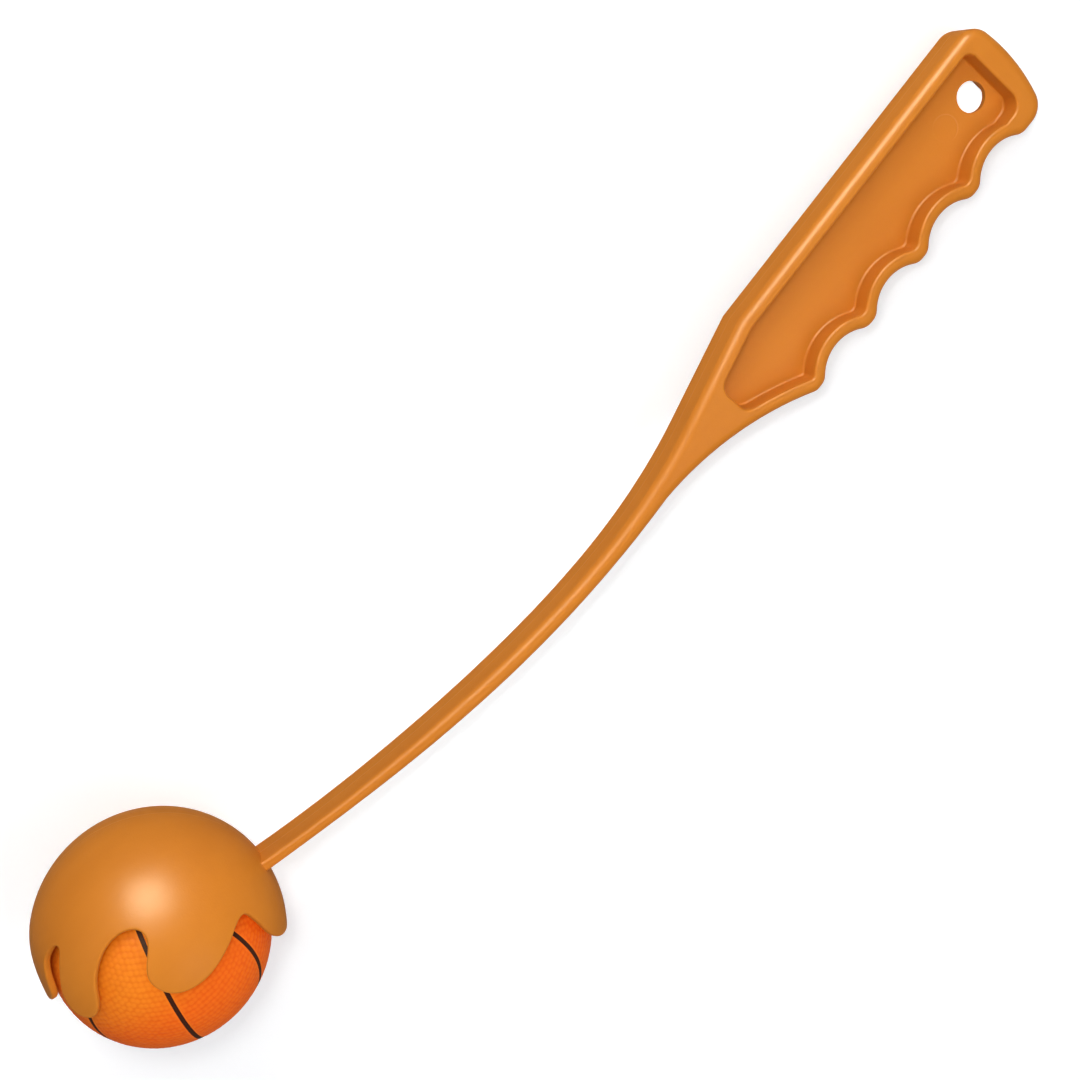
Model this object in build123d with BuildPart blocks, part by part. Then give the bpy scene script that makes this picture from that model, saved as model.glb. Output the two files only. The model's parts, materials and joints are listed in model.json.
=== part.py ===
from build123d import *
from math import asin, atan2, cos, degrees, hypot, radians, sin
import os

# Dog ball thrower: a one-piece moulded arm with a finger-grooved grip at one end
# and an open, fingered cup at the other, holding a hollow rubber ball.
# Everything is drawn in the swing plane, XY, with the ball's centre at zero, +X
# towards the grip and -Y towards the side that the cup opens to. The finished
# pieces are then laid down, as the thrower lies on a table.

# Ball
ball_diameter = 63.5
ball_wall = 5.0
seam_width = 1.3
seam_depth = 0.6
pole_angle = 30.0
seam_loop_angle = 49.0
seam_axis_degrees = (-118.9, 65.5)
ring_axis_degrees = (-22.4, 3.0)

# Cup
cup_wall = 2.2
cup_gap = 2.15
lip_gap = 0.3
lip_start_angle = 0.0
lip_ramp = 1.4
mouth_angle = -118.0
trim_angle = 24.0
notch_run_out_angle = 60.0

# Arm, from the cup to the neck
arm_reach = 190.0
arm_start_offset = 6.0
arm_start_angle = -11.3
arm_low_reach = 141.3
arm_low_offset = 18.0
arm_end_offset = 13.7
arm_end_angle = 9.5
arm_width_at_cup = 14.5
arm_thickness_at_cup = 3.3
arm_thickness = 4.8
arm_thickness_at_neck = 6.2
arm_round_at_cup = 1.0

# Neck, where the arm opens out into the grip
neck_reach = 50.9
neck_rise = 19.3
neck_angle = 18.8
neck_straight = 34.0
throat_radius = 105.0

# Grip
grip_angle = 6.45
grip_thickness = 17.0
grip_length = 108.4
grip_width = 32.9
heel_drop = 1.3
heel_rake = 3.2
end_bulge = 2.8
rim_width = 4.2
end_rim_width = 6.8
heel_rim_width = 6.5
recess_lead = 18.8
web_thickness = 2.0
edge_round = 2.9
floor_round = 0.8
recess_edge_round = 0.8
recess_draft_angle = 2.0

# Corners of the grip's outline and of its recess
crest_round = 4.6
throat_crest_round = 3.0
heel_round = 7.0
top_corner_round = 6.5
recess_lead_round = 4.5
recess_end_round = 3.0
recess_heel_round = 4.5
recess_crest_round = 3.0
recess_throat_round = 1.2

# Finger grooves
groove_count = 4
groove_pitch = 24.2
groove_radius = 13.0
groove_depth = 4.4
groove_start = 13.7
throat_lead = 0.4

# Hanging hole
hole_diameter = 9.2
hole_from_end = 13.5
hole_from_back = 16.3

# Cuts run past the surface that they open by this much
overrun = 1.0

# The outline of the whole is measured on facets this close to the surfaces
facet_size = 0.01

# Stations along the arm, and how far its thickness has grown there
arm_station_shares = [(0, 0), (0.22, 0.1), (0.45, 0.7), (0.68, 1)]

# Brim of the cup: azimuth and latitude about the mouth axis, in degrees, from the
# front finger (azimuth 0) round to the flap under the arm (180). Each notch runs
# from the middle of one tip to the middle of the next.
slit_degrees = [(0, 3), (14, 2.5), (23, -2), (27.5, -10), (32, -20), (38, -25.5), (41, -21),
                (39.5, -13), (38.5, -4), (41, 2.5), (46, 6.3), (51, 7)]
side_notch_degrees = [(51, 7), (56, 4.5), (57.5, -3), (60, -11), (65, -20), (73, -26.5), (81, -28.5),
                      (86.5, -25), (87, -19), (84, -12), (83.5, -6), (86, 0.5), (91.5, 4), (99, 5)]
back_notch_degrees = [(99, 5), (107, 3.3), (116, -1.5), (124, -7), (130, -11), (135, -12), (138.5, -8),
                      (141, 0), (146, 6), (153, 10.5), (164, 13.5), (180, 15)]

ball_radius = ball_diameter / 2
cup_inner_radius = ball_radius + cup_gap
cup_outer_radius = cup_inner_radius + cup_wall
lip_radius = ball_radius + lip_gap
half_grip = grip_thickness / 2
half_web = web_thickness / 2

swing_normal = Vector(0, 0, 1)


def step(angle, length):
    """A step of the given length at an angle in the swing plane."""
    return Vector(length * cos(radians(angle)), length * sin(radians(angle)))


def direction(azimuth, elevation):
    """A unit vector at an azimuth in the swing plane and an elevation above it."""
    return step(azimuth, cos(radians(elevation))) + swing_normal * sin(radians(elevation))


# Path of the arm's middle, ending at the neck section
arm_start = step(degrees(asin(-arm_start_offset / cup_inner_radius)), cup_inner_radius)
arm_low = Vector(arm_low_reach, -arm_low_offset)
arm_end = Vector(arm_reach, -arm_end_offset)
grip_start = arm_end + Vector(neck_reach, neck_rise)


def grip_point(s, t):
    """A point s along the grip from its start and t down from its back edge."""
    return grip_start + step(grip_angle, s) + step(grip_angle - 90, t)


with BuildLine() as arm_path:
    Spline(
        arm_start,
        arm_low,
        arm_end,
        tangents=[step(arm_start_angle, 1), step(0, 1), step(arm_end_angle, 1)],
    )

path = arm_path.wire()


def arm_section(share, thickness, width, corner):
    """A rounded strap section, square to the path."""
    place = Plane(origin=path @ share, x_dir=(path % share).cross(swing_normal), z_dir=path % share)
    with BuildSketch(place) as section:
        RectangleRounded(thickness, width, corner)
    return section.sketch


# Arm: lofted strap, cut to seat on the cup's outer wall
with BuildPart() as arm:
    for share, growth in arm_station_shares:
        thickness = arm_thickness_at_cup + (arm_thickness - arm_thickness_at_cup) * growth
        width = arm_width_at_cup + (grip_thickness - arm_width_at_cup) * share
        corner = arm_round_at_cup + (edge_round - arm_round_at_cup) * share
        add(arm_section(share, thickness, width, corner))
    add(arm_section(1, arm_thickness_at_neck, grip_thickness, edge_round))
    loft()
    Sphere(cup_outer_radius, mode=Mode.SUBTRACT)

# Grip: scalloped outline, drawn with the neck and the finger grooves
neck_back = arm_end + step(arm_end_angle + 90, arm_thickness_at_neck / 2)
neck_front = arm_end + step(arm_end_angle - 90, arm_thickness_at_neck / 2)
neck_tail = edge_round + overrun
neck_line_end = grip_point(0, 0) - step(neck_angle, neck_straight)
crest_start = grip_point(-throat_lead, grip_width)
back_corner = grip_point(grip_length, 0)
heel = grip_point(grip_length - heel_rake, grip_width + heel_drop)

# The end bulges out in an arc from the back's corner to the heel
end_chord = heel - back_corner
end_out = swing_normal.cross(end_chord.normalized())
end_middle = (back_corner + heel) / 2 + end_out * end_bulge
end_radius = (end_chord.length ** 2 / 4 + end_bulge ** 2) / 2 / end_bulge

crest_line = (heel - crest_start).normalized()
crest_out = crest_line.cross(swing_normal)
crest_angle = degrees(atan2(crest_line.Y, crest_line.X))
first_groove = crest_start + crest_line * groove_start + crest_out * (groove_radius - groove_depth)
groove_centres = [first_groove + crest_line * groove_pitch * i for i in range(groove_count)]


def past_crests(vertex):
    """How far a corner of the outline lies outside the line of the crests."""
    return (Vector(vertex) - crest_start).dot(crest_out)


def along_grip(vertex):
    return Vector(vertex).dot(crest_line)


with BuildSketch() as grip_blank:
    with BuildLine():
        back = TangentArc(neck_line_end, neck_back, tangent=step(neck_angle + 180, 1))
        Polyline(neck_line_end, grip_point(0, 0), back_corner)
        ThreePointArc(back_corner, end_middle, heel)
        Line(heel, crest_start)
        throat = RadiusArc(crest_start, neck_front, -throat_radius)
        back_tail = Line(neck_back, neck_back + (back % 1) * neck_tail)
        throat_tail = Line(neck_front, neck_front + (throat % 1) * neck_tail)
        Line(back_tail @ 1, throat_tail @ 1)
    make_face()

with BuildSketch() as grip_outline:
    add(grip_blank.sketch)
    with Locations(*groove_centres):
        Circle(groove_radius, mode=Mode.SUBTRACT)
    finger_side = grip_outline.vertices().filter_by(lambda v: abs(past_crests(v)) < groove_depth / 4)
    fillet(finger_side.sort_by(along_grip)[1:-1], crest_round)
    for corner, radius in (
        (heel, heel_round),
        (crest_start, throat_crest_round),
        (back_corner, top_corner_round),
    ):
        fillet(grip_outline.vertices().sort_by_distance(corner)[0], radius)

# Recess: the same outline moved in by the rim, with a wider rim at the heel and the end
recess_end = grip_length - end_rim_width
recess_middle = grip_point((recess_end - recess_lead) / 2, grip_width / 2)
heel_rim_corner = groove_centres[-1] - crest_out * (groove_radius - groove_depth + heel_rim_width)


recess_groove_radius = groove_radius + rim_width
rim_reach = groove_radius - groove_depth + rim_width
crest_middle = (groove_centres[0] + groove_centres[-1]) / 2 - crest_out * rim_reach
crest_strip = groove_pitch * (groove_count - 1)


def is_throat_crest(vertex):
    """Whether a corner of the recess lies on the rim's line along the crests."""
    return abs(past_crests(vertex) + rim_width) < rim_width / 20


def is_cusp(vertex):
    """Whether a corner of the recess is where the rims of two grooves meet."""
    gaps = [abs((Vector(vertex) - centre).length - recess_groove_radius) for centre in groove_centres]
    return sorted(gaps)[1] < rim_width / 20


with BuildSketch() as recess_outline:
    add(grip_blank.sketch)
    offset(amount=-rim_width, mode=Mode.REPLACE)
    with Locations(Location(crest_middle, (0, 0, crest_angle))):
        Rectangle(crest_strip, rim_width)
    with Locations(*groove_centres):
        Circle(recess_groove_radius, mode=Mode.SUBTRACT)
    with Locations(Location(recess_middle, (0, 0, grip_angle))):
        Rectangle(recess_lead + recess_end, grip_width * 2, mode=Mode.INTERSECT)
    with Locations(Location(heel_rim_corner, (0, 0, grip_angle))):
        Rectangle(grip_length, grip_width, align=(Align.MIN, Align.MAX), mode=Mode.SUBTRACT)
    fillet(recess_outline.vertices().filter_by(is_cusp), recess_crest_round)
    fillet(recess_outline.vertices().filter_by(is_throat_crest), recess_throat_round)
    fillet(recess_outline.vertices().sort_by(along_grip)[:2], recess_lead_round)
    for corner, radius in (
        (grip_point(recess_end, rim_width), recess_end_round),
        (grip_point(recess_end, grip_width - heel_rim_width), recess_heel_round),
    ):
        fillet(recess_outline.vertices().sort_by_distance(corner)[0], radius)


def side_faces(part):
    """The walls that stand square to the swing plane."""
    return part.faces().filter_by(lambda f: abs(f.normal_at().Z) < 0.5)


with BuildPart() as recess_core:
    with BuildSketch(Plane.XY.offset(half_web)):
        add(recess_outline.sketch)
    extrude(amount=half_grip - half_web)
    draft(side_faces(recess_core), Plane.XY.offset(half_grip), -recess_draft_angle)
    fillet(recess_core.faces().sort_by(Axis.Z)[0].edges(), floor_round)

# Grip: half of it is rounded, hollowed and bored, and then mirrored
with BuildPart() as grip:
    add(grip_outline.sketch)
    extrude(amount=half_grip)
    fillet(grip.faces().sort_by(Axis.Z)[-1].edges(), edge_round)
    split(bisect_by=Plane(origin=arm_end, z_dir=step(arm_end_angle, 1)), keep=Keep.TOP)
    add(recess_core.part, mode=Mode.SUBTRACT)
    fillet(grip.faces().sort_by(Axis.Z)[-1].inner_wires()[0].edges(), recess_edge_round)
    with Locations(grip_point(grip_length - hole_from_end, hole_from_back)):
        Cylinder(hole_diameter / 2, grip_thickness, mode=Mode.SUBTRACT)
    mirror(about=Plane.XY)

# Cup: a hollow ball with a grip lip inside its brim, and flame-shaped notches
mouth = step(mouth_angle, 1)
front = mouth.cross(swing_normal)
cup_plane = Plane(origin=(0, 0, 0), x_dir=front, z_dir=swing_normal)


def on_arc(radius, latitude):
    """A point of the cup's profile, in its own plane, at a latitude above the equator."""
    return (radius * cos(radians(latitude)), radius * sin(radians(latitude)))


def ray(azimuth, latitude):
    """The direction out of the ball's centre at an azimuth and latitude about the mouth axis."""
    out = front * cos(radians(azimuth)) + swing_normal * sin(radians(azimuth))
    return out * cos(radians(latitude)) + mouth * sin(radians(latitude))


def notch_face(points, side, reach):
    """The notch's outline where its rays meet a plane square to its middle, at a reach."""
    middle = ray(side * (points[0][0] + points[-1][0]) / 2, 0)
    plane = Plane(origin=middle * reach, x_dir=middle.cross(mouth), z_dir=middle)

    def seen(azimuth, latitude):
        out = ray(side * azimuth, latitude)
        out = out * (reach / out.dot(middle))
        return (out.dot(plane.x_dir), out.dot(plane.y_dir))

    outline = [seen(azimuth, latitude) for azimuth, latitude in points]
    run_out = [seen(points[i][0], notch_run_out_angle) for i in (-1, 0)]
    with BuildSketch(plane) as face:
        with BuildLine():
            Spline(*outline)
            Polyline(outline[-1], *run_out, outline[0])
        make_face()
    return face.sketch


with BuildPart() as cup:
    with BuildSketch(cup_plane):
        with BuildLine():
            outer_end = on_arc(cup_outer_radius, trim_angle)
            lip_start = on_arc(cup_inner_radius, lip_start_angle)
            lip_foot = (lip_radius, lip_start[1] + lip_ramp)
            CenterArc((0, 0), cup_outer_radius, -90, 90 + trim_angle)
            Polyline(outer_end, (lip_radius, outer_end[1]), lip_foot, lip_start)
            CenterArc((0, 0), cup_inner_radius, lip_start_angle, -90 - lip_start_angle)
            Line((0, -cup_inner_radius), (0, -cup_outer_radius))
        make_face()
    revolve(axis=Axis((0, 0, 0), mouth))
    for points in (slit_degrees, side_notch_degrees, back_notch_degrees):
        for side in (1, -1):
            add(notch_face(points, side, cup_inner_radius / 3))
            add(notch_face(points, side, cup_outer_radius + overrun))
            loft(ruled=True, mode=Mode.SUBTRACT)

# Ball: a hollow shell with the traditional seam lines, two rings and two loops,
# each of them a flat slice across the ball. The spheres' poles are turned off the
# seams, into open rubber.
ring_axis = direction(*ring_axis_degrees)
seam_axis = direction(*seam_axis_degrees)
ball_place = Plane(origin=(0, 0, 0), x_dir=ring_axis, z_dir=seam_axis)
loop_height = ball_radius * cos(radians(seam_loop_angle))
loop_slice = seam_width * sin(radians(seam_loop_angle))
slice_size = ball_diameter + overrun * 2
turned = (0, pole_angle, 0)

with BuildPart(ball_place) as seam_grooves:
    Box(slice_size, slice_size, seam_width)
    Box(seam_width, slice_size, slice_size)
    with Locations((0, 0, loop_height), (0, 0, -loop_height)):
        Box(slice_size, slice_size, loop_slice)
    Sphere(ball_radius + overrun, rotation=turned, mode=Mode.INTERSECT)
    Sphere(ball_radius - seam_depth, rotation=turned, mode=Mode.SUBTRACT)

with BuildPart() as ball_seams:
    with Locations(ball_place):
        Sphere(ball_radius, rotation=turned)
    add(seam_grooves.part, mode=Mode.INTERSECT)

with BuildPart() as ball:
    with Locations(ball_place):
        Sphere(ball_radius, rotation=turned)
        Sphere(ball_radius - ball_wall, rotation=turned, mode=Mode.SUBTRACT)
    add(seam_grooves.part, mode=Mode.SUBTRACT)

# Lying on a table: the cup's side and the grip's end both touch it
pieces = {"grip": grip, "arm": arm, "cup": cup, "ball": ball, "ball_seams": ball_seams}
end_reach = (end_middle - end_out * end_radius).X + end_radius - edge_round
end_height = half_grip - edge_round
lie_sine = (cup_outer_radius - edge_round) / hypot(end_reach, end_height)
lie_angle = degrees(asin(lie_sine) - atan2(end_height, end_reach))
tilted = Location((0, 0, 0), (0, lie_angle, 0))
facets = [point for piece in pieces.values() for point in (tilted * piece.part).tessellate(facet_size)[0]]
low = Vector(min(p.X for p in facets), min(p.Y for p in facets), -cup_outer_radius)
high = Vector(max(p.X for p in facets), max(p.Y for p in facets), max(p.Z for p in facets))
down = Location((-(low.X + high.X) / 2, -(low.Y + high.Y) / 2, -low.Z)) * tilted

os.makedirs("parts", exist_ok=True)
for name, piece in pieces.items():
    piece.part = down * piece.part
    piece.part.label = name
    export_step(piece.part, f"parts/{name}.step")
    print(name, round(piece.part.volume, 1), piece.part.is_valid, len(piece.part.solids()))

hole_plane = Plane(origin=grip_point(grip_length - hole_from_end, hole_from_back), z_dir=swing_normal)
hole = down * hole_plane.location
mouth_laid = down * Plane(origin=(0, 0, 0), z_dir=mouth).location
print("overall size", high - low, "lie angle", lie_angle)
print("hanging hole", hole.position, "axis", hole.z_axis.direction)
print("ball centre", mouth_laid.position, "mouth axis", mouth_laid.z_axis.direction)
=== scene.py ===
import json
import math

import bmesh
import bpy
import numpy as np
from mathutils import Matrix, Vector
from mathutils.geometry import delaunay_2d_cdt


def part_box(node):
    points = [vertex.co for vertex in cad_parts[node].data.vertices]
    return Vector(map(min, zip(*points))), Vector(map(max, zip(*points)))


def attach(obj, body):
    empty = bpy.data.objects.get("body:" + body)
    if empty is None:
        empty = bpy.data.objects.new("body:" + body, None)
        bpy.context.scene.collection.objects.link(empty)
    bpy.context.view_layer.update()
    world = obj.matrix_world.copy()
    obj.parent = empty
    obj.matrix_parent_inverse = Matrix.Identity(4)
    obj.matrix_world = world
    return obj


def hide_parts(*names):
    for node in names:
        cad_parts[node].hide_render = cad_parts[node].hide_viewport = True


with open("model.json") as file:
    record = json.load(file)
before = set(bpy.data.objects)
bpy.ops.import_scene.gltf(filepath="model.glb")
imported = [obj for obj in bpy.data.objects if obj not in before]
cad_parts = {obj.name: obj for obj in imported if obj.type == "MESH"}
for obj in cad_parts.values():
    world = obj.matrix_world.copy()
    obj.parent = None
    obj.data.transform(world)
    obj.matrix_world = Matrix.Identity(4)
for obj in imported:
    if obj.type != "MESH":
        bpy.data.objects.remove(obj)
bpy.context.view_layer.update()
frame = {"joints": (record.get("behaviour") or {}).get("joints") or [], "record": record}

mm = 0.001
mergeDistance = 2e-6  # metres
hangHole = frame["record"]["mounts"][0]

# The swing plane: the ball's centre is its zero, its first axis runs along the thrower towards
# the grip, its second towards the back of the arm, and its third is the plane's normal.
ballLow, ballHigh = (np.array(corner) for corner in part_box("ball"))
ballCentre = (ballLow + ballHigh) / 2
swingNormal = np.array(hangHole["axis"])  # the hanging hole runs square to the plane
swingAlong = np.array([swingNormal[2], 0, -swingNormal[0]])
swingAxes = np.array([swingAlong, [0, 1, 0], swingNormal])
swingZero = (0, 0, 0)
mouthAxis = swingAxes @ np.array(frame["joints"][0]["axis"])


def toObject(points):  # swing-plane millimetres to metres in the object's own frame
    return ballCentre + np.asarray(points) @ swingAxes * mm


def unit(vectors):
    return vectors / np.linalg.norm(vectors, axis=-1, keepdims=True)


def newObject(name, data):
    obj = bpy.data.objects.new(name, data)
    bpy.context.scene.collection.objects.link(obj)
    return obj


print("frame loaded, ball centre at", ballCentre.round(4))


# Camera: above the thrower, and towards the back of its arm
camera = {
    "place": (135.2, 174.8, 506.6),  # swing-plane millimetres
    "right": (0.695, -0.670, 0.260),
    "up": (0.718, 0.667, -0.200),
    "focalPixels": 1857,
    "framePixels": 1080,
    "sensor": 36,
    "clip": (0.01, 20),
}


def makeCamera():
    data = bpy.data.cameras.new("camera")
    data.sensor_width = camera["sensor"]
    data.lens = camera["focalPixels"] / camera["framePixels"] * camera["sensor"]
    data.clip_start, data.clip_end = camera["clip"]
    obj = newObject("camera", data)
    right = unit(np.array(camera["right"]) @ swingAxes)
    up = np.array(camera["up"]) @ swingAxes
    up = unit(up - right * (up @ right))
    back = np.cross(right, up)
    turn = Matrix((right, up, back)).transposed().to_4x4()
    obj.matrix_world = Matrix.Translation(toObject(camera["place"])) @ turn
    bpy.context.scene.camera = obj
    return np.array([right, up, back])


viewAxes = makeCamera()
print("camera placed")


# Shader node tools
def nodeGroup(name, inputs, outputs):
    group = bpy.data.node_groups.new(name, "ShaderNodeTree")
    for label, value in inputs.items():
        socket = group.interface.new_socket(label, in_out="INPUT", socket_type="NodeSocketFloat")
        socket.default_value = value
    for label in outputs:
        group.interface.new_socket(label, in_out="OUTPUT", socket_type="NodeSocketFloat")
    return group, group.nodes.new("NodeGroupInput"), group.nodes.new("NodeGroupOutput")


# A node with its settings; each link names an input socket, or gives its number as in0 or in1,
# and holds a socket or a value
def addNode(tree, kind, settings=None, **links):
    node = tree.nodes.new(kind)
    for key, value in (settings or {}).items():
        setattr(node, key, value)
    for label, source in links.items():
        numbered = label.startswith("in") and label[2:].isdigit()
        socket = node.inputs[int(label[2:]) if numbered else label.replace("_", " ")]
        if isinstance(source, bpy.types.NodeSocket):
            tree.links.new(source, socket)
        else:
            socket.default_value = source
    return node


def maths(tree, operation, first, second=0.0):
    node = addNode(tree, "ShaderNodeMath", {"operation": operation}, in0=first, in1=second)
    return node.outputs[0]


def vectorMaths(tree, operation, first, **links):
    return addNode(tree, "ShaderNodeVectorMath", {"operation": operation}, in0=first, **links)


def noise(tree, place, scale, detail=2.0, roughness=0.5):
    values = {"Scale": scale, "Detail": detail, "Roughness": roughness}
    return addNode(tree, "ShaderNodeTexNoise", Vector=place, **values).outputs["Fac"]


def spread(tree, value, low, high, fromLow=0.0, fromHigh=1.0, smooth=False):
    settings = {"interpolation_type": "SMOOTHSTEP"} if smooth else {}
    names = {"From_Min": fromLow, "From_Max": fromHigh, "To_Min": low, "To_Max": high}
    return addNode(tree, "ShaderNodeMapRange", settings, Value=value, **names).outputs["Result"]


def mixColour(tree, share, first, second):
    node = addNode(tree, "ShaderNodeMix", {"data_type": "RGBA"}, in0=share, in6=first, in7=second)
    return node.outputs[2]


def mixShader(tree, share, first, second):
    links = {"in0": share, "in1": first.outputs[0], "in2": second.outputs[0]}
    return addNode(tree, "ShaderNodeMixShader", **links)


def objectPlace(tree):
    return tree.nodes.new("ShaderNodeTexCoord").outputs["Object"]


# Object coordinates in metres along the swing plane's axes, from a point given in its millimetres;
# stretch is how far the pattern is drawn out along each axis
def swingPlace(tree, centre, stretch=(1, 1, 1)):
    values = {
        "Location": toObject(centre).tolist(),
        "Rotation": Matrix(swingAxes.T.tolist()).to_euler(),
        "Scale": stretch,
    }
    settings = {"vector_type": "TEXTURE"}
    node = addNode(tree, "ShaderNodeMapping", settings, Vector=objectPlace(tree), **values)
    return node.outputs[0]


# Lights: a front lamp beside the lens that casts a narrow shadow, a soft key high at the upper
# left, a gleam from the key's way that only makes the highlights, a fill at each side that casts
# no shadow, the left one weak, and a small lamp behind the grip's back face. Each comes from a
# direction along the camera's right, up and back, at a distance in metres from a point of the
# swing plane in millimetres.
lights = {
    "front": {
        "from": (-0.080, 0.086, 1), "target": (150, -5, 0), "distance": 0.56, "size": 0.075,
        "watts": 0.97, "colour": (1, 1, 0.96), "diffuse": True, "gloss": False, "shadow": True,
    },
    "key": {
        "from": (-0.15, 0.53, 0.84), "target": (150, -5, 0), "distance": 0.9, "size": 0.32,
        "watts": 2.15, "colour": (1, 1, 0.9), "diffuse": True, "gloss": False, "shadow": True,
    },
    "gleam": {
        "from": (-0.12, 0.61, 0.78), "target": (150, -5, 0), "distance": 0.9, "size": 0.54,
        "watts": 50.0, "colour": (1, 0.90, 0.62), "diffuse": False, "gloss": True, "shadow": True,
    },
    "right": {
        "from": (0.60, -0.40, 0.70), "target": (150, -5, 0), "distance": 1.2, "size": 0.6,
        "watts": 5.6, "colour": (1, 1, 1), "diffuse": True, "gloss": False, "shadow": False,
    },
    "left": {
        "from": (-0.75, -0.10, 0.65), "target": (150, -5, 0), "distance": 1.2, "size": 0.6,
        "watts": 0.6, "colour": (1, 1, 1), "diffuse": True, "gloss": False, "shadow": False,
    },
    "back": {
        "from": (-0.50, 0.76, 0.42), "target": (255, 10, 8), "distance": 0.4, "size": 0.15,
        "watts": 0.42, "colour": (1, 1, 0.9), "diffuse": True, "gloss": False, "shadow": True,
    },
}
sky = {
    "white": (1, 1, 1, 1),
    "strength": 0.36,
    "gloss": (0.24, 0.18, 0.12, 1),  # what glossy faces see of it
}


def makeLight(name, values):
    data = bpy.data.lights.new(name, "AREA")
    data.shape = "SQUARE"
    data.size = values["size"]
    data.energy = values["watts"]
    data.color = values["colour"]
    data.use_shadow = values["shadow"]
    obj = newObject(name, data)
    obj.visible_diffuse = values["diffuse"]
    obj.visible_glossy = values["gloss"]
    way = unit(np.array(values["from"]) @ viewAxes)
    side = unit(np.cross((0, 0, 1), way))
    turn = Matrix((side, np.cross(way, side), way)).transposed().to_4x4()
    place = toObject(values["target"]) + way * values["distance"]
    obj.matrix_world = Matrix.Translation(place) @ turn


def makeSky():
    world = bpy.data.worlds.new("studio")
    world.use_nodes = True
    tree = world.node_tree
    tree.nodes.clear()
    plain = addNode(tree, "ShaderNodeBackground", Color=sky["white"], Strength=sky["strength"])
    mirrored = addNode(tree, "ShaderNodeBackground", Color=sky["gloss"], Strength=1.0)
    seen = addNode(tree, "ShaderNodeBackground", Color=sky["white"], Strength=1.0)
    path = tree.nodes.new("ShaderNodeLightPath").outputs
    unseen = mixShader(tree, path["Is Glossy Ray"], plain, mirrored)
    mix = mixShader(tree, path["Is Camera Ray"], unseen, seen)
    addNode(tree, "ShaderNodeOutputWorld", in0=mix.outputs[0])
    bpy.context.scene.world = world


for name, values in lights.items():
    makeLight(name, values)
makeSky()
bpy.context.scene.view_settings.view_transform = "Standard"
print("lights and sky placed")


# Mesh tools
def gridFaces(rows, columns, roundAbout=True):  # quads of a grid, closed across its columns
    index = np.arange(rows * columns).reshape(rows, columns)
    if roundAbout:
        index = np.hstack([index, index[:, :1]])
    corners = [index[:-1, :-1], index[:-1, 1:], index[1:, 1:], index[1:, :-1]]
    return np.stack(corners, -1).reshape(-1, 4)


# Puts a piece in the scene: points in swing-plane millimetres, faces as a list of corner lists, and
# relief as a value at each point for the material
def addPiece(name, points, faces, body, nodes, relief=None):
    data = bpy.data.meshes.new(name)
    data.from_pydata(toObject(points).tolist(), [], faces)
    if relief is not None:
        layer = data.attributes.new("relief", "FLOAT", "POINT")
        layer.data.foreach_set("value", np.asarray(relief, np.float32))
    work = bmesh.new()
    work.from_mesh(data)
    bmesh.ops.remove_doubles(work, verts=work.verts, dist=mergeDistance)
    work.to_mesh(data)
    work.free()
    data.polygons.foreach_set("use_smooth", np.ones(len(data.polygons), bool))
    data.update()
    piece = newObject(name, data)
    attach(piece, body)
    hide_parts(*nodes)
    print(name, "has", len(data.polygons), "faces")
    return piece


def smoothStep(low, high, values):
    share = np.clip((values - low) / (high - low), 0, 1)
    return share * share * (3 - 2 * share)


# Unit directions from an azimuth in the first two axes and a latitude off them, in degrees
def rays(azimuth, latitude):
    azimuth, latitude = np.radians(azimuth), np.radians(latitude)
    flat = np.cos(latitude)
    return np.stack([flat * np.cos(azimuth), flat * np.sin(azimuth), np.sin(latitude)], -1)


# Ball: a hollow shell with real pebbles and seam grooves, and seams let into it. Lengths are in
# millimetres.
ball = {
    "radius": 31.75,
    "innerRadius": 26.75,
    "gridAcross": 124,  # quads along each side of the six patches of the skin
    "innerAcross": 20,
    "pebbleRow": 1.50,  # from row to row
    "pebbleStep": 1.75,  # and along a row
    "pebbleJitter": 0.13,
    "pebbleReach": 0.96,
    "pebbleDepth": 0.12,
    "pebbleGain": (0.72, 1.0),
    "rowAxis": (0.93, 0.30, 0.20),  # the rows run round it: camera right, up and back
    "grooveDepth": 0.17,
    "grooveReach": 1.6,
    "seamWidth": 1.3,
    "seamProud": 0.02,
    "seamCrown": 0.03,
    "seamDepth": 0.6,
    "seamSegments": 240,
    "seamAcross": 9,
    "loopHalfLength": 66.0,  # degrees along the ring that halves it
    "loopHalfWidth": 48.5,
    "seamAxis": rays(-117.9, 61.5),
    "ringAxis": rays(-22.4, 3.0),
    "seamSamples": 900,  # points along each seam that distances are measured to
    "batch": 4096,  # points of the skin handled at once
    "seed": 7,
}


# Unit directions along the four seams: two great circles square to the two axes, and two ovals
# that are ellipses in the angle along the second circle and the angle off it
def seamLines(count):
    ring = ball["ringAxis"]
    middle = unit(ball["seamAxis"] - ring * (ball["seamAxis"] @ ring))
    third = np.cross(ring, middle)
    turn = np.linspace(0, 2 * math.pi, count, endpoint=False)[:, None]
    lines = [axis * np.cos(turn) + third * np.sin(turn) for axis in (ring, middle)]
    along = np.radians(ball["loopHalfLength"]) * np.cos(turn)
    off = np.radians(ball["loopHalfWidth"]) * np.sin(turn)
    oval = ring * np.sin(off) + (middle * np.cos(along) + third * np.sin(along)) * np.cos(off)
    return np.array(lines + [oval, -oval])


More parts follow.
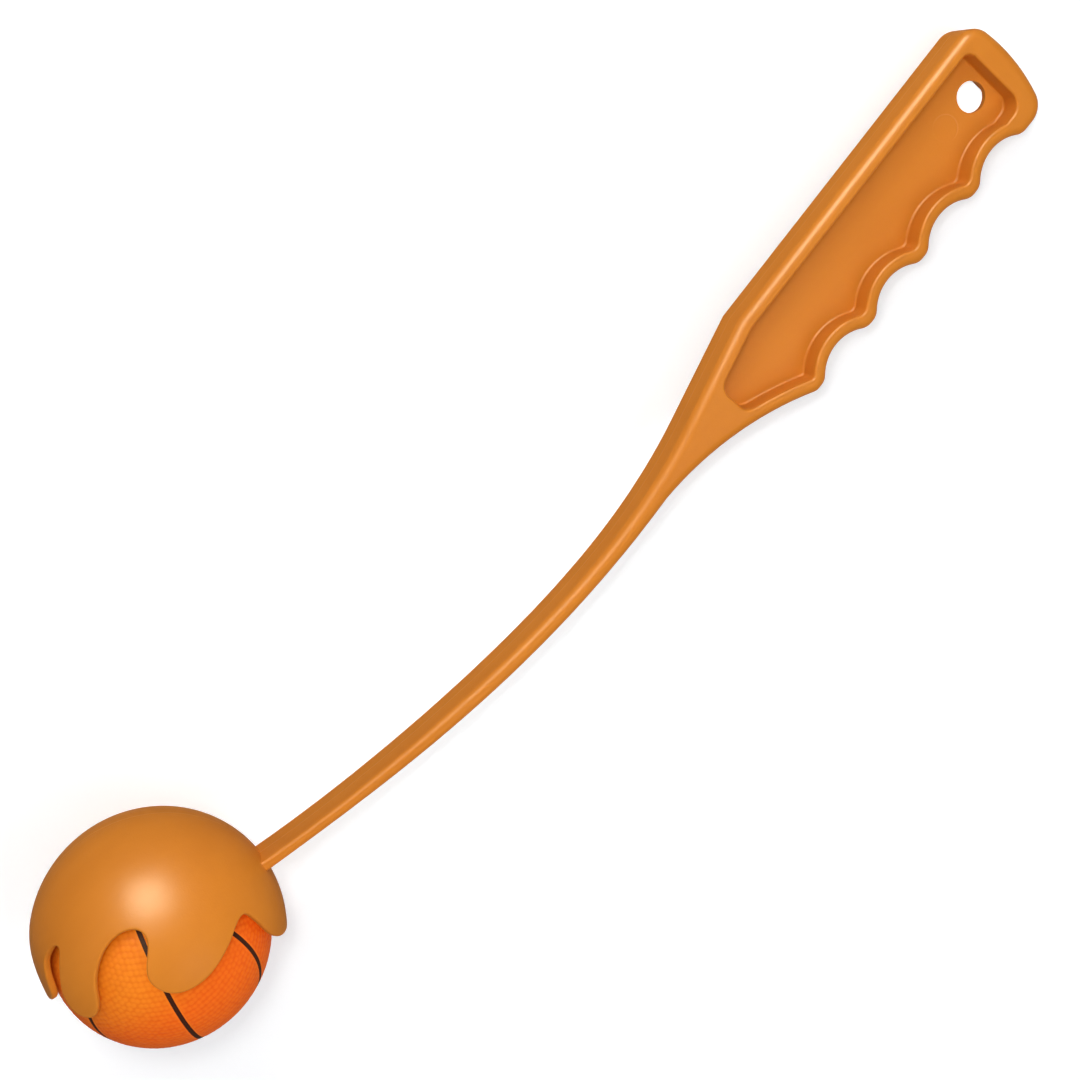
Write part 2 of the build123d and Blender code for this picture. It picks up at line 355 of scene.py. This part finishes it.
# Six square patches laid over a unit sphere, their lines evenly spread in angle
def spherePatches(across):
    line = np.tan(np.linspace(-1, 1, across + 1) * math.pi / 4)
    u, v = np.meshgrid(line, line, indexing="ij")
    one = np.ones_like(u)
    sides = []
    for sign in (1, -1):
        sides += [(sign * one, u, sign * v), (sign * v, sign * one, u), (u, sign * v, sign * one)]
    points = unit(np.stack([np.stack(side, -1) for side in sides]).reshape(-1, 3))
    quads = gridFaces(across + 1, across + 1, False)
    faces = np.vstack([quads + i * (across + 1) ** 2 for i in range(len(sides))])
    a, b, c, d = (points[faces[:, k]] for k in range(4))
    inward = np.einsum("ij,ij->i", np.cross(c - a, d - b), a + b + c + d) < 0
    faces[inward] = faces[inward][:, ::-1]
    return points, faces


# How many points a step apart fit round each latitude of a sphere, and each point's row and its
# azimuth in turns, every other row moved on by half a step
def staggeredRows(latitudes, stepsRound, fewest):
    counts = np.maximum(fewest, np.round(stepsRound * np.cos(latitudes))).astype(int)
    row = np.repeat(np.arange(len(latitudes)), counts)
    place = np.arange(counts.sum()) - np.repeat(np.cumsum(counts) - counts, counts)
    return row, (place + 0.5 * (row % 2)) / counts[row]


def pebbleCentres():  # points in staggered rows round an axis, each moved at random
    random = np.random.default_rng(ball["seed"])
    rows = int(math.pi * ball["radius"] / ball["pebbleRow"])
    latitudes = (np.arange(rows) + 0.5) / rows * math.pi - math.pi / 2
    row, turns = staggeredRows(latitudes, 2 * math.pi * ball["radius"] / ball["pebbleStep"], 3)
    points = rays(turns * 360, np.degrees(latitudes[row]))
    points = points + random.normal(0, ball["pebbleJitter"] / ball["radius"], points.shape)
    axis = unit(np.array(ball["rowAxis"]) @ viewAxes @ swingAxes.T)
    side = unit(np.cross(axis, (0, 0, 1)))
    return unit(points) @ np.array([side, np.cross(axis, side), axis]), random


# The index of the unit direction nearest to each point, and how far apart the two lie on a sphere
# in a straight line
def nearestOf(points, others, radius):
    near = points @ others.T
    nearest = near.argmax(1)
    cosine = near[np.arange(len(near)), nearest]
    return nearest, radius * np.sqrt(2 * np.maximum(0, 1 - cosine))


def grooveAt(distance):  # how deep the skin sinks towards a seam
    return ball["grooveDepth"] * (1 - smoothStep(0, ball["grooveReach"], distance))


# The ball's radius, less a shallow groove at the seams and less the valleys between pebbles; a
# pebble's height falls with the square of the distance from its centre, and the inside is a sphere
def makeBallSkin():
    points, faces = spherePatches(ball["gridAcross"])
    centres, random = pebbleCentres()
    gain = random.uniform(*ball["pebbleGain"], len(centres))
    lines = seamLines(ball["seamSamples"]).reshape(-1, 3)
    height, distance = np.empty(len(points)), np.empty(len(points))
    for start in range(0, len(points), ball["batch"]):
        part = slice(start, start + ball["batch"])
        nearest, gap = nearestOf(points[part], centres, ball["radius"])
        height[part] = np.clip(1 - (gap / ball["pebbleReach"]) ** 2, 0, 1) * gain[nearest]
        distance[part] = nearestOf(points[part], lines, ball["radius"])[1]
    fade = smoothStep(ball["seamWidth"] / 2, ball["grooveReach"], distance)
    height = height * fade + (1 - fade)
    radius = ball["radius"] - ball["pebbleDepth"] * (1 - height) - grooveAt(distance)
    inner, innerFaces = spherePatches(ball["innerAcross"])
    shell = np.vstack([points * radius[:, None], inner * ball["innerRadius"]])
    faces = faces.tolist() + (innerFaces[:, ::-1] + len(points)).tolist()
    relief = np.concatenate([height, np.ones(len(inner))])
    return addPiece("ballSkin", shell, faces, "ball", ["ball"], relief)


# A low crowned band carried along each seam line: a point moves across the line by its share of
# the width, and its radius keeps the band just above the groove in the skin
def makeBallSeams():
    half = ball["seamWidth"] / 2
    across = np.linspace(-half, half, ball["seamAcross"])
    crown = ball["seamProud"] + ball["seamCrown"] * (1 - (across / half) ** 2)
    top = ball["radius"] - grooveAt(half) + crown
    offset = np.concatenate([across, [half, -half]])[:, None, None] / ball["radius"]
    radius = np.concatenate([top, np.full(2, ball["radius"] - ball["seamDepth"])])[:, None, None]
    count = ball["seamSegments"]
    ringPoints = len(offset) * count
    quads = gridFaces(len(offset) + 1, count) % ringPoints
    points, faces = [], []
    for line in seamLines(count):
        side = unit(np.cross(line, np.roll(line, -1, axis=0) - np.roll(line, 1, axis=0)))
        faces += (quads + len(points) * ringPoints).tolist()
        points.append(((line * np.cos(offset) + side * np.sin(offset)) * radius).reshape(-1, 3))
    return addPiece("ballSeams", np.vstack(points), faces, "ball", ["ball_seams"])


ballSkin, ballSeams = makeBallSkin(), makeBallSeams()


# Cup: an open shell round the ball, with fingers and flame-shaped notches in its brim
cup = {
    "outerRadius": 36.1,
    "innerRadius": 33.9,
    "lipRadius": 32.05,
    "lipRamp": 1.4,
    "edgeRound": 0.5,
    "innerRound": 1.25,  # the inner edge is rounded more, this much of the wall's thickness
    "innerReach": 0.95,  # and this far from the brim
    "roundRows": 6,
    "leadRows": 3,
    "capStart": 1.4,  # the wall's rows end this far inside the brim, and the caps begin
    "lipFade": (1.2, 4.6),  # the lip rises between these distances from the brim
    "leanDepth": 1.45,  # how far the front finger's tip leans in towards the ball,
    "leanLatitudes": (-27, 4),  # over these latitudes
    "leanAzimuths": (33, 40),  # and fading out between these azimuths
    "columns": 720,
    "latticeDegrees": 1.7,
    "latticeLow": (-88.5, -1),  # latitudes of the caps' points below the lip and above it
    "latticeHigh": (4.2, 15),
    "latticeGap": 0.7,  # no point of theirs is nearer than this to a cap's edge
    "chartGap": 1e-9,  # points of the flat chart nearer than this are one
    # azimuth and latitude about the mouth, from the front finger round to the flap at the back
    "brim": [
        (0, 6), (10, 5.7), (18, 4.5), (23.5, 1.6), (25.6, -2.5), (26.2, -8), (27, -14),
        (29.2, -19.3), (33.1, -23.4), (37.8, -26), (40.6, -25.4), (40.9, -21), (40.2, -14),
        (39.3, -7), (40.6, 0.5), (43.7, 4.7), (48, 6.5), (51.5, 6.7), (55.3, 4.2), (57.6, 0),
        (58.8, -6), (60.8, -13), (64.4, -19.8), (69.5, -25.2), (75.5, -28.2), (81.5, -28.8),
        (85.6, -27.2), (87.7, -23.3), (86.6, -18), (84.2, -12), (83.2, -6.5), (85.4, -1),
        (91.5, 4), (99, 5), (107, 3.3), (116, -1.5), (124, -7), (130, -11), (135, -11.7),
        (138.5, -8), (141.6, -2.5), (146, 4.8), (153, 10.6), (164, 14.3), (180, 15.8),
    ],
}
# The cup's own axes: forwards, sideways and out of the mouth
cupAxes = np.array([np.cross(mouthAxis, (0, 0, 1)), (0, 0, 1), mouthAxis])


# A closed cubic spline through the knots, its bends solved so that slope and curvature run on
# through every knot, walked at even steps of its length
def closedSpline(knots, count, steps=60):
    ahead = np.roll(knots, -1, axis=0)
    reach = np.linalg.norm(ahead - knots, axis=1)[:, None]
    slope = (ahead - knots) / reach
    here = np.arange(len(knots))
    system = np.zeros((len(knots), len(knots)))
    system[here, here] = 2 * (reach + np.roll(reach, 1, axis=0))[:, 0]
    system[here, here - len(knots) + 1] = reach[:, 0]
    system[here, here - 1] = np.roll(reach[:, 0], 1)
    bend = np.linalg.solve(system, 6 * (slope - np.roll(slope, 1, axis=0)))[:, None]
    share = np.linspace(0, 1, steps, endpoint=False)[None, :, None]
    rest = 1 - share
    line = knots[:, None] * rest + ahead[:, None] * share
    sag = (rest ** 3 - rest) * bend + (share ** 3 - share) * np.roll(bend, -1, axis=0)
    line = (line + reach[:, None] ** 2 / 6 * sag).reshape(-1, 3)
    line = np.vstack([line, line[:1]])
    walked = np.concatenate([[0], np.cumsum(np.linalg.norm(np.diff(line, axis=0), axis=1))])
    even = np.linspace(0, walked[-1], count, endpoint=False)
    return unit(np.stack([np.interp(even, walked, line[:, k]) for k in range(3)], -1))


# The brim from its table and its mirror in the swing plane, and at each of its points the way over
# the sphere into the material
def cupBrim():
    table = np.array(cup["brim"], float)
    table = np.vstack([table, table[-2:0:-1] * (-1, 1)])
    brim = closedSpline(rays(table[:, 0], table[:, 1]), cup["columns"])
    along = unit(np.roll(brim, -1, axis=0) - np.roll(brim, 1, axis=0))
    inward = np.cross(brim, along)
    return brim, inward * -np.sign(inward[:, 2].mean())


def brimRow(brim, inward, offset):  # the brim moved over the sphere into the material
    lean = offset / cup["outerRadius"]
    return brim * np.cos(lean) + inward * np.sin(lean)


def lineGap(directions, line):  # millimetres to the nearest point of a line on the outer sphere
    return nearestOf(directions, line, cup["outerRadius"])[1]


# Radius of the cup's inside: a sphere below the equator, and above it the grip lip, a short ramp
# that leads to a narrower round bore along the mouth's axis and that fades out near the brim
def innerWall(directions, brim):
    sine = directions[:, 2]
    flat = np.sqrt(1 - sine ** 2)
    steep = (cup["innerRadius"] - cup["lipRadius"]) / cup["lipRamp"]
    ramp = cup["innerRadius"] / (flat + np.maximum(sine, 0) * steep)
    lip = np.where(sine > 0, np.maximum(ramp, cup["lipRadius"] / flat), cup["innerRadius"])
    share = smoothStep(*cup["lipFade"], lineGap(directions, brim))
    return cup["innerRadius"] + (lip - cup["innerRadius"]) * share


# Rows from the outer cap over the brim to the inner cap: each is the brim moved into the material
# by its offset, at the outer radius less a drop, or at the inner radius plus a rise. Offsets, drops
# and rises follow a quarter turn at each edge, and a few plain rows lead on to the caps.
def brimWall(brim, inward):
    turn = np.linspace(0, math.pi / 2, cup["roundRows"])
    plain = np.zeros(cup["leadRows"])
    outerLead = np.linspace(cup["capStart"], cup["edgeRound"], cup["leadRows"] + 1)[:-1]
    outerOffsets = np.concatenate([outerLead, cup["edgeRound"] * (1 - np.sin(turn))])
    outerDrops = np.concatenate([plain, cup["edgeRound"] * (1 - np.cos(turn))])
    innerLead = np.linspace(cup["innerReach"], cup["capStart"], cup["leadRows"] + 1)[1:]
    innerOffsets = np.concatenate([cup["innerReach"] * (1 - np.cos(turn)), innerLead])
    innerRises = np.concatenate([cup["innerRound"] * (1 - np.sin(turn)), plain])
    rows = []
    for offset, drop in zip(outerOffsets, outerDrops):
        rows.append(brimRow(brim, inward, offset) * (cup["outerRadius"] - drop))
    for offset, rise in zip(innerOffsets, innerRises):
        row = brimRow(brim, inward, offset)
        rows.append(row * (innerWall(row, brim) + rise)[:, None])
    return np.array(rows)


def flatChart(directions):  # stereographic, seen from the middle of the mouth
    return directions[..., :2] / (1 - directions[..., 2:])


def insideLoop(points, loop):  # counts the loop's edges that a line to the right crosses
    ahead = np.roll(loop, -1, axis=0)
    x, y = points[:, :1], points[:, 1:]
    crosses = (loop[:, 1] > y) != (ahead[:, 1] > y)
    at = loop[:, 0] + (y - loop[:, 1]) / (ahead[:, 1] - loop[:, 1]) * (ahead[:, 0] - loop[:, 0])
    return (crosses & (x < at)).sum(1) % 2 == 1


def facing(directions, triangles):  # turns each triangle so that it faces out
    a, b, c = (directions[triangles[:, k]] for k in range(3))
    inward = np.einsum("ij,ij->i", np.cross(b - a, c - a), a) < 0
    triangles[inward] = triangles[inward][:, ::-1]
    return triangles


# The directions and triangles of a cap: its edge and staggered rows of points inside it, which are
# joined in the flat chart and taken back to the sphere
def cupCap(edge):
    step = cup["latticeDegrees"]
    lipTop = math.degrees(math.asin(cup["lipRamp"] / cup["lipRadius"]))
    low, high = np.arange(*cup["latticeLow"], step), np.arange(*cup["latticeHigh"], step)
    latitudes = np.concatenate([low, [0, lipTop], high])
    row, turns = staggeredRows(np.radians(latitudes), 360 / step, 4)
    lattice = rays(turns * 360, latitudes[row])
    inside = insideLoop(flatChart(lattice), flatChart(edge))
    lattice = lattice[(lineGap(lattice, edge) > cup["latticeGap"]) & inside]
    chart = np.vstack([flatChart(edge), flatChart(lattice)])
    ring = np.arange(len(edge))
    border = np.stack([ring, np.roll(ring, -1)], -1).tolist()
    flat = [Vector(point) for point in chart.tolist()]
    filled = delaunay_2d_cdt(flat, border, [], 1, cup["chartGap"])  # 1 keeps what the border holds
    chart = np.array([tuple(point) for point in filled[0]])
    size = (chart ** 2).sum(1, keepdims=True)
    directions = np.hstack([2 * chart, size - 1]) / (size + 1)
    return directions, facing(directions, np.array(filled[2]))


def leanIn(points):  # moves the front finger towards the ball by a share that grows to its tip
    reach = np.linalg.norm(points, axis=1, keepdims=True)
    azimuth = np.abs(np.degrees(np.arctan2(points[:, 1:2], points[:, :1])))
    latitude = np.degrees(np.arcsin(points[:, 2:] / reach))
    share = smoothStep(*cup["leanLatitudes"], latitude)
    share = share * (1 - smoothStep(*cup["leanAzimuths"], azimuth))
    return points * (1 - cup["leanDepth"] * share / reach)


# Two caps of one triangulation, on the outer sphere and on the inside's radius, joined by the
# rows round the brim
def makeCup():
    brim, inward = cupBrim()
    wall = brimWall(brim, inward)
    directions, capFaces = cupCap(brimRow(brim, inward, cup["capStart"]))
    inner = directions * innerWall(directions, brim)[:, None]
    points = np.vstack([directions * cup["outerRadius"], wall.reshape(-1, 3), inner])
    wallFaces = gridFaces(len(wall), cup["columns"]) + len(directions)
    outward = np.cross(wall[0, 1] - wall[0, 0], wall[1, 0] - wall[0, 0]) @ wall[0, 0]
    if outward < 0:
        wallFaces = wallFaces[:, ::-1]
    innerFaces = capFaces[:, ::-1] + len(points) - len(inner)
    faces = capFaces.tolist() + wallFaces.tolist() + innerFaces.tolist()
    return addPiece("cupShell", leanIn(points) @ cupAxes, faces, "thrower", ["cup"])


cupShell = makeCup()


# Floor: a flat pale sheet that shows white to the camera and still takes the shadow; it glows more
# under the hanging hole, where the grip's rims would leave it dark
floor = {
    "halfSize": 4.0,
    "colour": (0.86, 0.88, 0.91, 1),
    "bounce": (0.44, 0.42, 0.38, 1),  # the colour that everything but the camera sees
    "glow": 0.24,
    "holeGlow": 0.55,
    "holeReach": (0.009, 0.012),
}


def makeFloor():
    half = floor["halfSize"]
    corners = [(-half, -half, 0), (half, -half, 0), (half, half, 0), (-half, half, 0)]
    mesh = bpy.data.meshes.new("floor")
    mesh.from_pydata(corners, [], [(0, 1, 2, 3)])
    obj = newObject("floor", mesh)
    material = bpy.data.materials.new("paleFloor")
    material.use_nodes = True
    tree = material.node_tree
    tree.nodes.clear()
    underHole = (*hangHole["pos_m"][:2], 0)
    far = vectorMaths(tree, "DISTANCE", objectPlace(tree), in1=underHole).outputs["Value"]
    brightest = floor["glow"] + floor["holeGlow"]
    glow = spread(tree, far, brightest, floor["glow"], *floor["holeReach"], True)
    sheet = addNode(tree, "ShaderNodeBsdfDiffuse", Color=floor["colour"])
    light = addNode(tree, "ShaderNodeEmission", Strength=glow)
    seen = addNode(tree, "ShaderNodeAddShader", in0=sheet.outputs[0], in1=light.outputs[0])
    bounce = addNode(tree, "ShaderNodeBsdfDiffuse", Color=floor["bounce"])
    path = tree.nodes.new("ShaderNodeLightPath").outputs
    mix = mixShader(tree, path["Is Camera Ray"], bounce, seen)
    addNode(tree, "ShaderNodeOutputMaterial", in0=mix.outputs[0])
    mesh.materials.append(material)
    obj.visible_glossy = False


makeFloor()
print("floor laid")


# Surface grain, placed in every material with its own values: wide patches, a fine speckle, a
# height that blends two noises, and a roughness between two limits that follows patches and height
surface = {
    "inputs": {
        "Patch Scale": 16.0, "Grain Scale": 500.0, "Fine Scale": 1800.0,
        "Low Roughness": 0.3, "High Roughness": 0.5,
    },
    "outputs": ["Patch", "Speckle", "Roughness", "Height"],
    "patchNoise": (3.0, 0.55),  # detail and roughness
    "grainDetail": 2.0,
    "fineDetail": 1.0,
    "fineShare": 0.4,
    "patchSpan": (0.35, 0.65),
    "speckleSpan": (0.3, 0.7),
}


def makeSurfaceGrain():
    group, given, out = nodeGroup("surfaceGrain", surface["inputs"], surface["outputs"])
    place, given = objectPlace(group), given.outputs
    patch = noise(group, place, given["Patch Scale"], *surface["patchNoise"])
    grain = noise(group, place, given["Grain Scale"], surface["grainDetail"])
    fine = noise(group, place, given["Fine Scale"], surface["fineDetail"])
    coarsePart = maths(group, "MULTIPLY", grain, 1 - surface["fineShare"])
    height = maths(group, "ADD", coarsePart, maths(group, "MULTIPLY", fine, surface["fineShare"]))
    mean = maths(group, "MULTIPLY", maths(group, "ADD", patch, height), 0.5)
    share = spread(group, mean, 0, 1, *surface["patchSpan"])
    reach = maths(group, "SUBTRACT", given["High Roughness"], given["Low Roughness"])
    rough = maths(group, "ADD", given["Low Roughness"], maths(group, "MULTIPLY", reach, share))
    results = {
        "Patch": spread(group, patch, 0, 1, *surface["patchSpan"]),
        "Speckle": spread(group, fine, 0, 1, *surface["speckleSpan"]),
        "Roughness": rough,
        "Height": height,
    }
    for label, result in results.items():
        group.links.new(result, out.inputs[label])
    return group


surfaceGrain = makeSurfaceGrain()


# A material with its shader and its grain; values holds specular and the grain's own inputs
def newMaterial(name, values):
    material = bpy.data.materials.new(name)
    material.use_nodes = True
    tree = material.node_tree
    shader = next(node for node in tree.nodes if node.type == "BSDF_PRINCIPLED")
    shader.inputs["Specular IOR Level"].default_value = values["specular"]
    grain = addNode(tree, "ShaderNodeGroup", {"node_tree": surfaceGrain})
    for label, value in values["grain"].items():
        grain.inputs[label].default_value = value
    return material, tree, shader, grain.outputs


def linkShader(tree, shader, colour, roughness, height, depth):
    bump = addNode(tree, "ShaderNodeBump", Strength=1.0, Distance=depth, Height=height)
    tree.links.new(colour, shader.inputs["Base Color"])
    tree.links.new(roughness, shader.inputs["Roughness"])
    tree.links.new(bump.outputs["Normal"], shader.inputs["Normal"])


# Moulded plastic: satin amber orange, with faint flow from the grip to the cup, a parting line
# round the swing plane with a painted highlight along it, an ejector pin's ring in the web with a
# painted highlight on one side, and a few scuffs. Lengths that stand alone are in metres, and
# points of the swing plane are in millimetres.
moulded = {
    "colour": (0.632, 0.208, 0.022, 1),
    "deep": (0.582, 0.181, 0.017, 1),
    # pale: worn plastic in the scuffs, and the painted highlights on the pin ring and the parting
    # line
    "pale": (0.740, 0.300, 0.070, 1),
    "grain": {
        "Patch Scale": 22.0, "Grain Scale": 520.0, "Fine Scale": 2200.0,
        "Low Roughness": 0.33, "High Roughness": 0.41,
    },
    "bumpDepth": 0.00006,
    "specular": 0.12,
    "flowStretch": (6.0, 1.0, 1.0),
    "flowNoise": (90.0, 3.0, 0.6),  # scale, detail and roughness
    "flowSpan": (0.35, 0.65),
    "flowShare": 0.45,
    "patchShare": 0.4,
    "partingSpan": (0.00015, 0.00045),  # full up to the first distance, gone at the second
    "partingHighlightShare": 0.22,
    "partingHeight": 0.8,
    "pinCentre": (325.1, -1.0, 0),
    "pinRadius": 0.0040,
    "pinHalfWidth": 0.00040,
    # The side of the ring whose edge catches the light; the painted highlight fades away from it
    "pinLitSide": (0.95, 0.30, 0.0),  # the ring is crisp on this side
    "pinFade": 0.6,  # and fades over this share of its radius to either side
    "pinFaintest": 0.1,
    "pinHighlightShare": 0.40,
    "pinDepth": 1.5,
    "scuffs": [  # centre, half length and half width
        ((107.1, -10.2, 6.5), 0.0034, 0.0007),
        ((204.4, -2.2, 7.6), 0.0018, 0.0006),
        ((200.8, -3.0, 8.0), 0.0012, 0.0005),
    ],
    "scuffDeep": 3,  # how much deeper than wide a scuff's patch reaches
    "scuffEdge": 0.35,
    "scuffShare": 0.8,
    "scuffHeight": 2.0,
}


# The parting line's ridge is real; the paler colour along it is a painted highlight on that ridge
def partingLine(tree):  # whole on the swing plane and gone a little way off it
    swing = addNode(tree, "ShaderNodeSeparateXYZ", Vector=swingPlace(tree, swingZero))
    off = maths(tree, "ABSOLUTE", swing.outputs[2])
    return spread(tree, off, 1, 0, *moulded["partingSpan"], True)


# Whole where the distance from the pin's axis is its radius, and fainter away from the side where
# its edge catches the light; the sunk ring is real, and its paler colour is a painted highlight
def pinRing(tree):
    place = swingPlace(tree, moulded["pinCentre"])
    flat = vectorMaths(tree, "MULTIPLY", place, in1=(1, 1, 0)).outputs[0]
    far = vectorMaths(tree, "LENGTH", flat).outputs["Value"]
    off = maths(tree, "ABSOLUTE", maths(tree, "SUBTRACT", far, moulded["pinRadius"]))
    ring = spread(tree, off, 1, 0, 0.0, moulded["pinHalfWidth"], True)
    lean = vectorMaths(tree, "DOT_PRODUCT", flat, in1=moulded["pinLitSide"]).outputs["Value"]
    reach = moulded["pinRadius"] * moulded["pinFade"]
    crisp = spread(tree, lean, moulded["pinFaintest"], 1, -reach, reach, True)
    return maths(tree, "MULTIPLY", ring, crisp)


def scuffMarks(tree):  # long flat spots, whole in their middles and gone at their edges
    marks = 0.0
    for centre, halfLength, halfWidth in moulded["scuffs"]:
        stretch = (halfLength, halfWidth, halfWidth * moulded["scuffDeep"])
        spot = swingPlace(tree, centre, stretch)
        size = vectorMaths(tree, "LENGTH", spot).outputs["Value"]
        mark = spread(tree, size, 1, 0, moulded["scuffEdge"], 1.0, True)
        marks = maths(tree, "MAXIMUM", mark, marks)
    return marks


def makeMoulded():
    material, tree, shader, grain = newMaterial("mouldedBody", moulded)
    flow = noise(tree, swingPlace(tree, swingZero, moulded["flowStretch"]), *moulded["flowNoise"])
    flow = spread(tree, flow, 0, 1, *moulded["flowSpan"])
    flow = maths(tree, "MULTIPLY", flow, moulded["flowShare"])
    patches = maths(tree, "MULTIPLY", grain["Patch"], moulded["patchShare"])
    share = maths(tree, "ADD", flow, patches)
    colour = mixColour(tree, share, moulded["colour"], moulded["deep"])
    height = grain["Height"]
    marks = [
        (scuffMarks(tree), moulded["scuffShare"], moulded["scuffHeight"]),
        (pinRing(tree), moulded["pinHighlightShare"], -moulded["pinDepth"]),
        (partingLine(tree), moulded["partingHighlightShare"], moulded["partingHeight"]),
    ]
    # The scuffs' paler colour is wear; on the pin ring and the parting line it is a painted
    # highlight
    for mark, share, rise in marks:  # each turns the plastic paler and raises or sinks it
        colour = mixColour(tree, maths(tree, "MULTIPLY", mark, share), colour, moulded["pale"])
        height = maths(tree, "ADD", height, maths(tree, "MULTIPLY", mark, rise))
    linkShader(tree, shader, colour, grain["Roughness"], height, moulded["bumpDepth"])
    return material


# Ball rubber: orange with painted light and shade. The valleys between the pebbles are painted
# darker and redder as painted shade, and the whole ball is painted yellower on the side that the
# key lamp lights and redder, as painted shade, away from it along the lit side's axis
rubber = {
    "top": (0.900, 0.246, 0.014, 1),
    # The valley colours are painted shade between the pebbles: darker and redder than the tops
    "valleyShade": (0.820, 0.182, 0.008, 1),
    "shadedSideTop": (0.960, 0.163, 0.010, 1),
    "shadedSideValleyShade": (0.885, 0.113, 0.005, 1),
    # Painted light: the ball is painted yellower towards this side, where the key lamp falls
    "litSideAxis": (-0.35, 0.25, 0.90),  # camera right, up and back: the side that is yellower
    "litSideSpan": (0.0115, 0.0265),  # metres along that axis
    "fadePatch": (0.85, 1.0),
    "valleyShadeSpan": (0.0, 0.75),
    "grain": {
        "Patch Scale": 30.0, "Grain Scale": 1500.0, "Fine Scale": 4200.0,
        "Low Roughness": 0.40, "High Roughness": 0.55,
    },
    "bumpDepth": 0.00003,
    "specular": 0.10,
}


def makeRubber():
    material, tree, shader, grain = newMaterial("ballRubber", rubber)
    relief = addNode(tree, "ShaderNodeAttribute", {"attribute_name": "relief"}).outputs["Fac"]
    axis = unit(np.array(rubber["litSideAxis"])) @ viewAxes
    place = vectorMaths(tree, "SUBTRACT", objectPlace(tree), in1=ballCentre.tolist()).outputs[0]
    along = vectorMaths(tree, "DOT_PRODUCT", place, in1=axis.tolist()).outputs["Value"]
    # Painted light: yellower on the key-lit side, and redder as painted shade away from it
    fade = spread(tree, along, 0, 1, *rubber["litSideSpan"], True)
    fade = maths(tree, "MULTIPLY", fade, spread(tree, grain["Patch"], *rubber["fadePatch"]))
    top = mixColour(tree, fade, rubber["shadedSideTop"], rubber["top"])
    valleyShade = mixColour(tree, fade, rubber["shadedSideValleyShade"], rubber["valleyShade"])
    # Painted shade: the low ground between the pebbles takes the darker valley colour
    colour = mixColour(tree, spread(tree, relief, 0, 1, *rubber["valleyShadeSpan"]), valleyShade, top)
    linkShader(tree, shader, colour, grain["Roughness"], grain["Height"], rubber["bumpDepth"])
    return material


# Seam rubber: dark brown and matt, with a little dust
seamRubber = {
    "colour": (0.034, 0.009, 0.005, 1),
    "dusty": (0.070, 0.024, 0.012, 1),
    "dustShare": 0.6,
    "grain": {
        "Patch Scale": 60.0, "Grain Scale": 1200.0, "Fine Scale": 3800.0,
        "Low Roughness": 0.50, "High Roughness": 0.65,
    },
    "bumpDepth": 0.00003,
    "specular": 0.15,
}


def makeSeamRubber():
    material, tree, shader, grain = newMaterial("seamRubber", seamRubber)
    share = maths(tree, "MULTIPLY", grain["Speckle"], seamRubber["dustShare"])
    colour = mixColour(tree, share, seamRubber["colour"], seamRubber["dusty"])
    linkShader(tree, shader, colour, grain["Roughness"], grain["Height"], seamRubber["bumpDepth"])
    return material


def dress(piece, material):
    piece.data.materials.clear()
    piece.data.materials.append(material)


mouldedBody = makeMoulded()
dress(cupShell, mouldedBody)
dress(ballSkin, makeRubber())
dress(ballSeams, makeSeamRubber())

# The arm and the grip keep their solids' shapes; the modifiers join their facets, and let the
# flat faces lead the shading across the rounded edges
shading = {"creaseDegrees": 38, "flatWeight": 70}
for node in ("arm", "grip"):
    piece = bpy.data.objects[node]
    dress(piece, mouldedBody)
    piece.data.polygons.foreach_set("use_smooth", np.ones(len(piece.data.polygons), bool))
    piece.modifiers.new("weld", "WELD").merge_threshold = mergeDistance
    piece.modifiers.new("crease", "EDGE_SPLIT").split_angle = math.radians(shading["creaseDegrees"])
    piece.modifiers.new("weighted", "WEIGHTED_NORMAL").weight = shading["flatWeight"]
print("materials set")
